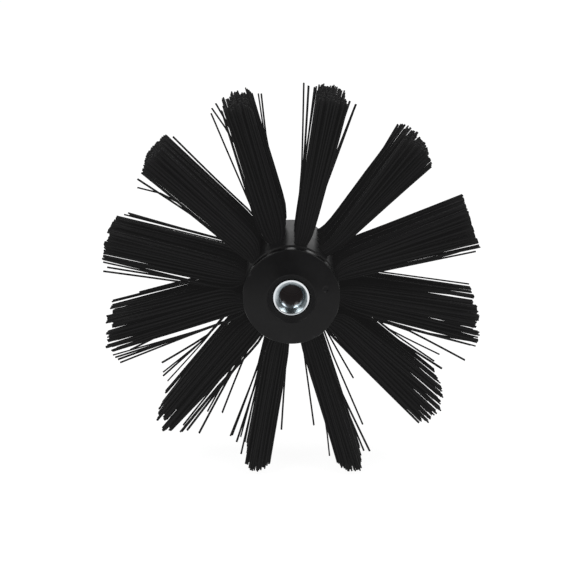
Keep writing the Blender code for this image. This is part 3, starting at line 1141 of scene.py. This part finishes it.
@dataclass
class Column(Part):
    """One of the twelve columns of tufts round the drum.

    Attributes:
        number: The column's number, from 1.
        wear: How it has been bent.
        strand: The pattern that every strand is copied from.
        root_width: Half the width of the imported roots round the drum.
        root_depth: Half their width along the drum.
        fold: How far out from the tuft's folded end its strands start.
        shoulder: Distance from the axis at which a wear's foot is given.
        bend: How soon a strand turns from its socket into its line.
        bow: How far strands bow out on their way.
        tip_depth: How far tips spread along the drum, to each side.
        unevenness: How far tips stray from an even spread.
        wander: How far a tuft's edges and its strands' ends vary.
        wisp: Mean distance between wisps, with wisp_widths as its range.
        grip: Least and most by which a wisp gathers, times the wear's locks, and up to grip_limit.
        hold: Least and most that a single strand joins its wisp.
        seen_rise: How far a place rises in the picture as it goes back along the drum.
        stray_thickness: How many times thicker than the pattern strays are, with stray_widths as its range.
        stray_depth: How far strays keep their place along the drum.
        stray_bend: How gently strays leave the tuft.
        standing: The columns whose tips the head stands on, cut flat by standing_trim in each row.
        floor_gap: The least gap between those tips and the floor.
    """

    number: int
    wear: Wear
    strand: "StrandPattern"
    rows: int = 4
    row_pitch: float = 10.8 * MM
    first_angle: float = math.radians(11.5)
    columns: int = 12
    first_row_inset: float = 6.2 * MM
    strands: int = 64
    root_width: float = 2.6 * MM
    root_depth: float = 2.5 * MM
    shoulder: float = 32.0 * MM
    fold: float = 2.0 * MM
    bend: float = 3.0 * MM
    bow: float = 0.12 * MM
    tip_depth: float = 4.9 * MM
    unevenness: float = 0.06
    wander: float = 0.3 * MM
    wisp: float = 2.4 * MM
    wisp_widths: Point = (0.45, 1.55)
    wisps: int = 60
    grip: Point = (0.0, 2.0)
    grip_limit: float = 0.9
    hold: Point = (0.4, 1.0)
    seen_rise: float = math.tan(CAMERA_ELEVATION)
    stray_thickness: float = 1.12
    stray_widths: Point = (0.9, 1.25)
    stray_depth: float = 0.6
    stray_bend: float = 0.12
    standing: tuple[int, ...] = (6, 7)
    standing_trim: tuple[float, ...] = (1.8 * MM, 0.7 * MM, 0.2 * MM, 0.4 * MM)
    floor_gap: float = 0.2 * MM
    finishes: tuple[Finish, ...] = (BristleNylon(), CutNylon())

    @property
    def angle(self) -> float:
        """Direction of the column, clockwise from straight up as seen from the mouth."""
        return self.first_angle + 2 * math.pi * (self.number - 1) / self.columns

    def place(self, row: int) -> Matrix:
        """Frame of one tuft: X round the drum, Y along it and Z outwards, from the axis.

        Args:
            row: The tuft's row, from 0.

        Returns:
            The frame's matrix.
        """
        stagger = 0.0 if self.number % 2 else self.row_pitch / 2
        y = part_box("hub_barrel")[0].y + self.first_row_inset + self.row_pitch * row + stagger
        return Matrix.Translation((self.axis.x, y, self.axis.z)) @ Matrix.Rotation(self.angle, 4, "Y")

    def build(self) -> None:
        """Builds the column's tufts, each a piece of its own."""
        for row in range(self.rows):
            chance = np.random.default_rng(100 * self.number + row)
            roots, tips = self._lay_out(chance, row)
            leaves = np.zeros(self.strands)
            strays = [stray for stray in self.wear.strays if stray.row == row + 1]
            self._bend_strays(strays, roots, tips, leaves)
            paths = self._paths(chance, roots, tips, leaves)
            stout = self.stray_thickness * chance.uniform(*self.stray_widths, self.strands)
            thickness = np.where(leaves > 0, stout, 1.0)
            tuft = self.strand.tuft(f"bristles_{self.number:02d}_{row + 1}", paths, thickness, chance)
            tuft.data.transform(self.place(row))
            self.fit(tuft, self.finishes, Slot.BRISTLE, f"tuft_{self.number:02d}_{row + 1}")

    def _lay_out(self, chance: np.random.Generator, row: int) -> tuple[np.ndarray, np.ndarray]:
        """Packs the roots in the socket and fans the tips out over the tuft's end.

        Args:
            chance: Source of the tuft's own irregularities.
            row: The tuft's row, from 0.

        Returns:
            Roots and tips as points in the tuft's frame.
        """
        wear, count = self.wear, self.strands
        order = np.arange(count)
        distance = np.sqrt((order + 0.5) / count)
        turn = order * math.pi * (3 - math.sqrt(5)) + chance.uniform(0, 2 * math.pi)
        disc = np.stack([distance * np.cos(turn), distance * np.sin(turn)], axis=1)
        spread = disc + chance.normal(0, self.unevenness, disc.shape)
        spread[:, 0] = 2 * (spread[:, 0] - spread[:, 0].min()) / np.ptp(spread[:, 0]) - 1
        low, high = (edge * MM for edge in wear.tip)
        low += chance.normal(self.wander, self.wander)
        high -= chance.normal(self.wander, self.wander)
        side = spread[:, 0].clip(-1, 1)
        even = (side * np.sqrt(1 - side ** 2) + np.arcsin(side)) * 2 / math.pi
        across = (low + high) / 2 + (high - low) / 2 * even
        back = self.tip_depth * spread[:, 1] - wear.lean * MM
        shift = self.seen_rise * math.sin(self.angle) * (self.place(row).translation.y + back)
        comb = np.random.default_rng(10 + self.number)
        wisps = np.cumsum(comb.uniform(*self.wisp_widths, self.wisps)) * self.wisp
        wisps -= wisps[self.wisps // 2]
        grip = np.clip(wear.locks * comb.uniform(*self.grip, self.wisps), 0.0, self.grip_limit)
        wisp = np.argmin(abs(across[:, None] - shift[:, None] - wisps[None, :]), axis=1)
        across += (wisps[wisp] + shift - across) * grip[wisp] * chance.uniform(*self.hold, count)
        short = np.interp(spread[:, 0], np.linspace(-1, 1, len(wear.trim)), wear.trim) * MM
        short += np.abs(comb.normal(0, wear.ragged * MM, self.wisps))[wisp]
        short += np.abs(chance.normal(0, self.wander, count))
        if self.number in self.standing:
            short = (short + self.standing_trim[row]).clip(self.floor_gap)
        height = self._trimmed(across, short)
        return disc * (self.root_width, self.root_depth), np.stack([across, back, height], axis=1)

    def _trimmed(self, across: np.ndarray, short: np.ndarray) -> np.ndarray:
        """Height of each tip in the tuft's frame, after trimming.

        Args:
            across: Place of each tip round the drum.
            short: How much each strand falls short of the trimmed surface.

        Returns:
            Heights along the tuft.
        """
        if self.number in self.standing:
            drop = self.axis.z - short
            return (drop - across * math.sin(self.angle)) / -math.cos(self.angle)
        return np.sqrt((self.wear.reach * MM - short) ** 2 - across ** 2)

    def _side(self, across: float) -> int:
        """Which edge of the tuft a place belongs to: 0 for the anticlockwise one, 1 for the clockwise one."""
        return 1 if across > sum(self.wear.tip) / 2 * MM else 0

    def _bend_strays(
        self, strays: Sequence[Stray], roots: np.ndarray, tips: np.ndarray, leaves: np.ndarray
    ) -> None:
        """Bends the tuft's outermost strands to where its strays lie.

        Args:
            strays: The tuft's strays.
            roots: Roots of all its strands.
            tips: Tips of all its strands, changed in place.
            leaves: Where each strand leaves the tuft, changed in place.
        """
        free = list(range(len(roots)))
        for stray in strays:
            across = stray.across * MM
            sign = 1.0 if self._side(across) else -1.0
            index = max(free, key=lambda number: sign * roots[number][0])
            free.remove(index)
            height = math.sqrt((stray.reach * MM) ** 2 - across ** 2)
            tips[index] = (across, tips[index][1] * self.stray_depth, height)
            leaves[index] = stray.leaves * MM

    def _paths(
        self, chance: np.random.Generator, roots: np.ndarray, tips: np.ndarray, leaves: np.ndarray
    ) -> np.ndarray:
        """Centre line of every strand, at the pattern's own steps.

        A strand leaves its socket straight, bends within a few millimetres, and then runs almost straight
        to its tip.

        Args:
            chance: Source of the tuft's own irregularities.
            roots: Roots in the tuft's frame.
            tips: Tips in the tuft's frame.
            leaves: Where each stray leaves the tuft, or 0.

        Returns:
            Points by strand and step.
        """
        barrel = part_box("hub_barrel")
        mouth = (barrel[1].x - barrel[0].x) / 2
        start = TUFT_FLOOR + self.fold
        root, reach = roots[:, 0:1], tips[:, 2:3]
        height = start + (reach - start) * self.strand.steps[None, :]
        low, high = (edge * MM for edge in self.wear.foot)
        foot = (low + high) / 2 + (high - low) / 2 * root / self.root_width
        tip = tips[:, 0:1].copy()
        for index in np.flatnonzero(leaves):
            side = self._side(tips[index, 0])
            foot[index], tip[index] = self.wear.foot[side] * MM, self.wear.tip[side] * MM
        rate = (tip - foot) / (reach - self.shoulder)
        line = foot + rate * (height - self.shoulder)
        sideways = foot + rate * (mouth - self.shoulder) - root
        out = np.clip(height - mouth, 0.0, None)
        across = np.where(height > mouth, line - sideways * np.exp(-out / self.bend), root)
        share = out / (reach - mouth)
        bow = np.sin(math.pi * share) * chance.normal(0, self.bow, (len(roots), 1))
        depth = roots[:, 1:2] + (tips[:, 1:2] - roots[:, 1:2]) * share + bow * chance.choice((-1, 1))
        for index in np.flatnonzero(leaves):
            away = np.clip((height[index] - leaves[index]) / (reach[index] - leaves[index]), 0, 1)
            bent = away ** 2 / (away + self.stray_bend) * (1 + self.stray_bend)
            across[index] += (tips[index, 0] - tip[index, 0]) * bent
        return np.stack([across + bow, depth, height], axis=2)


@dataclass
class StrandPattern:
    """One nylon strand, modelled once and laid along every path.

    Attributes:
        widths: Least and most that a strand's width is of the pattern's.
        slant: How steeply the cut ends slant.
        flat: How nearly along the strand an end's face looks.
        steps: Where the strand is cut into steps, as shares of its length.
    """

    diameter: float = 0.72 * MM
    sides: int = 6
    widths: Point = (0.90, 1.06)
    slant: float = 0.25
    flat: float = 0.9
    steps: np.ndarray = field(default_factory=lambda: np.array(
        [0.0, 0.099, 0.128, 0.165, 0.225, 0.305, 0.47, 0.60, 0.73, 0.86, 1.0]
    ))

    def __post_init__(self) -> None:
        """Models the strand as a prism of unit length, cut into steps, and reads it back."""
        bpy.ops.object.select_all(action="DESELECT")
        bpy.ops.mesh.primitive_cylinder_add(
            vertices=self.sides, radius=self.diameter / 2, depth=1.0, location=(0.0, 0.0, 0.5)
        )
        pattern = bpy.context.object
        settle(pattern)
        in_edit_mode(pattern, self._divide)
        mesh = pattern.data
        self.points = np.array([vertex.co[:] for vertex in mesh.vertices])
        self.faces = [tuple(face.vertices) for face in mesh.polygons]
        self.caps = np.array([abs(face.normal.z) > self.flat for face in mesh.polygons])
        self.rings = np.array([int(np.argmin(abs(self.steps - z))) for z in self.points[:, 2]])
        bpy.data.objects.remove(pattern)

    def _divide(self) -> None:
        """Bisects the prism at each step of the path."""
        for step in self.steps[1:-1]:
            bpy.ops.mesh.select_all(action="SELECT")
            bpy.ops.mesh.bisect(plane_co=(0.0, 0.0, float(step)), plane_no=(0.0, 0.0, 1.0))

    def tuft(
        self, name: str, paths: np.ndarray, thickness: np.ndarray, chance: np.random.Generator
    ) -> bpy.types.Object:
        """Copies the strand along every path, into one mesh.

        Args:
            name: Name of the new piece.
            paths: Points by strand and step.
            thickness: How many times thicker than the pattern each strand is.
            chance: Source of each strand's turn, size and tone.

        Returns:
            The tuft, in its own frame.
        """
        count, size = len(paths), len(self.points)
        turn = chance.uniform(0, 2 * math.pi, (count, 1))
        thick = thickness[:, None] * chance.uniform(*self.widths, (count, 1))
        x, y = self.points[:, 0][None, :], self.points[:, 1][None, :]
        section = np.stack([
            (x * np.cos(turn) - y * np.sin(turn)) * thick,
            (x * np.sin(turn) + y * np.cos(turn)) * thick,
            np.zeros((count, size)),
        ], axis=2)
        slant = chance.normal(0, self.slant, (count, 1)) * (self.points[:, 2] == 1.0)[None, :]
        points = paths[:, self.rings, :] + section
        points[:, :, 2] -= np.abs(section[:, :, 0] * slant)
        faces = [tuple(v + size * index for v in face) for index in range(count) for face in self.faces]
        mesh = bpy.data.meshes.new(name)
        mesh.from_pydata(points.reshape(-1, 3).tolist(), [], faces)
        caps = np.tile(self.caps, count)
        mesh.polygons.foreach_set("use_smooth", ~caps)
        mesh.polygons.foreach_set("material_index", caps.astype(np.int32))
        tone = mesh.attributes.new(STRAND_TONE, "FLOAT", "POINT")
        tone.data.foreach_set("value", np.repeat(chance.uniform(0, 1, count), size).astype(np.float32))
        mesh.update()
        piece = bpy.data.objects.new(name, mesh)
        bpy.context.scene.collection.objects.link(piece)
        return piece


@dataclass(frozen=True)
class PaleFloor(Finish):
    """A pale floor that shows white to the camera, to metal and to glass, and keeps the head's shadow.

    Attributes:
        colour: The floor as it lights the head.
        white: Its glow where it is seen.
        shown: What of it the lights and shadows add to that glow.
        lit_radius: How far from the head its reflection is white.
        dim_radius: Where that reflection is dimmed, by dimming.
    """

    colour: Colour = grey(0.8)
    white: float = 0.94
    shown: Colour = grey(0.12)
    lit_radius: float = 0.35
    dim_radius: float = 1.3
    dimming: float = 0.62

    def paint(self, graph: Graph, centre: Vector) -> None:
        """Fills the material's graph.

        Args:
            graph: The material's graph.
            centre: A point on the hub's axis; not used.
        """
        seen, camera = graph.shown()
        plain = graph.node("ShaderNodeBsdfDiffuse", {}, {"Color": self.colour})
        shadowed = graph.node("ShaderNodeBsdfDiffuse", {}, {"Color": self.shown})
        distance = graph.vector("LENGTH", graph.object_place()).outputs["Value"]
        far = graph.ramp(distance, self.lit_radius, self.dim_radius) * (1.0 - camera)
        glow = graph.node("ShaderNodeEmission", {}, {"Strength": self.white - far * self.dimming})
        bright = graph.node("ShaderNodeAddShader", {}, {0: shadowed.outputs[0], 1: glow.outputs[0]})
        either = graph.node(
            "ShaderNodeMixShader", {}, {0: seen, 1: plain.outputs[0], 2: bright.outputs[0]}
        )
        graph.node("ShaderNodeOutputMaterial", {}, {"Surface": either.outputs[0]})


@dataclass
class Lamp:
    """A square soft light aimed at the head.

    Attributes:
        name: The light's name.
        place: Where it stands, in metres.
        size: Width of its face.
        power: Its power in watts.
    """

    name: str
    place: tuple[float, float, float]
    size: float
    power: float

    def build(self, target: Vector) -> None:
        """Adds the light.

        Args:
            target: The point that it is aimed at.
        """
        data = bpy.data.lights.new(self.name, "AREA")
        data.shape = "SQUARE"
        data.size = self.size
        data.energy = self.power
        lamp = bpy.data.objects.new(self.name, data)
        lamp.location = self.place
        lamp.rotation_euler = (target - Vector(self.place)).to_track_quat("-Z", "Y").to_euler()
        bpy.context.scene.collection.objects.link(lamp)


@dataclass
class Studio:
    """Floor, lights and camera.

    Attributes:
        target: The middle of the insert's end face, at which the camera's distance is set.
        elevation: The camera's height above the horizon, as an angle.
        distance: From the camera to the target.
        millimetres_a_pixel: Scale of the picture at the target.
        image_size: Side of the picture in pixels.
        target_pixel: Where the target lies in the picture.
        floor_gap: How far below the CAD model's lowest point the floor lies.
        ambient: Strength of the world's light.
        dark_side: Direction in which metal sees a darker world, by dimming.
        lamps: The lights.
    """

    target: Vector
    elevation: float = CAMERA_ELEVATION
    distance: float = 0.8964
    millimetres_a_pixel: float = 0.4150
    image_size: int = 580
    target_pixel: tuple[float, float] = (291.3, 297.8)
    sensor_width: float = 36.0
    floor_size: float = 40.0
    floor_gap: float = 0.02 * MM
    ambient: float = 0.60
    dark_side: tuple[float, float, float] = (0.0, -0.55, 1.0)
    dimming: float = 0.93
    lamps: tuple[Lamp, ...] = (
        Lamp("key_left", (-1.10, -1.20, 1.35), 1.0, 15.0),
        Lamp("key_right", (1.15, -1.15, 1.35), 0.9, 13.0),
        Lamp("top_left", (-1.00, 0.20, 1.62), 0.6, 4.0),
        Lamp("top_right", (0.80, 0.18, 1.74), 0.6, 4.0),
    )

    def build(self) -> None:
        """Builds the floor, the world, the lights and the camera."""
        self._build_floor()
        self._build_world()
        for lamp in self.lamps:
            lamp.build(self.target)
        self._build_camera()
        bpy.context.scene.view_settings.view_transform = "Standard"

    def _build_floor(self) -> None:
        """A pale floor under the head's lowest tips."""
        bpy.ops.object.select_all(action="DESELECT")
        height = CAD_BOX[0].z - self.floor_gap
        bpy.ops.mesh.primitive_plane_add(size=self.floor_size, location=(0.0, 0.0, height))
        floor = bpy.context.object
        floor.name = "floor"
        floor.data.materials.append(PaleFloor().material("pale_floor", self.target))

    def _build_world(self) -> None:
        """A plain world: white where the camera, metal or glass sees it, and softer as light."""
        world = bpy.data.worlds.new("studio")
        bpy.context.scene.world = world
        graph = Graph(world)
        seen, camera = graph.shown()
        direction = graph.node("ShaderNodeTexCoord").outputs["Generated"]
        rise = Term(graph, graph.vector("DOT_PRODUCT", direction, self.dark_side).outputs["Value"])
        above = graph.ramp(rise, 0.0, 1.0) * (1.0 - camera)
        soft = graph.node("ShaderNodeBackground", {}, {"Color": grey(1.0), "Strength": self.ambient})
        white = graph.node(
            "ShaderNodeBackground", {}, {"Color": grey(1.0), "Strength": 1.0 - above * self.dimming}
        )
        either = graph.node("ShaderNodeMixShader", {}, {0: seen, 1: soft.outputs[0], 2: white.outputs[0]})
        graph.node("ShaderNodeOutputWorld", {}, {"Surface": either.outputs[0]})

    def _build_camera(self) -> None:
        """A camera at the photograph's angle, turned so that the target lies at its own pixel."""
        data = bpy.data.cameras.new("camera")
        camera = bpy.data.objects.new("camera", data)
        bpy.context.scene.collection.objects.link(camera)
        back = Vector((0.0, -math.cos(self.elevation), math.sin(self.elevation)))
        camera.location = self.target + back * self.distance
        scale = self.millimetres_a_pixel * MM
        aside = (self.image_size / 2 - self.target_pixel[0]) * scale
        above = (self.target_pixel[1] - self.image_size / 2) * scale
        up = Vector((0.0, math.sin(self.elevation), math.cos(self.elevation)))
        aim = self.target + Vector((aside, 0.0, 0.0)) + up * above
        camera.rotation_euler = (aim - camera.location).to_track_quat("-Z", "Y").to_euler()
        data.sensor_width = self.sensor_width
        data.lens = data.sensor_width * self.distance / (self.image_size * scale)
        bpy.context.scene.camera = camera


def main() -> None:
    """Builds the head and its studio."""
    logging.basicConfig(level=logging.INFO, format="%(name)s %(message)s")
    low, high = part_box("front_end_plate")
    axis = (low + high) / 2
    strand = StrandPattern()
    columns = [Column(axis, number, wear, strand) for number, wear in enumerate(WEAR, start=1)]
    DrumHub(axis).build(columns)
    ThreadedInsert(axis).build()
    for column in columns:
        column.build()
    Studio(Vector((axis.x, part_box("threaded_insert")[0].y, axis.z))).build()


if __name__ == "__main__":
    main()
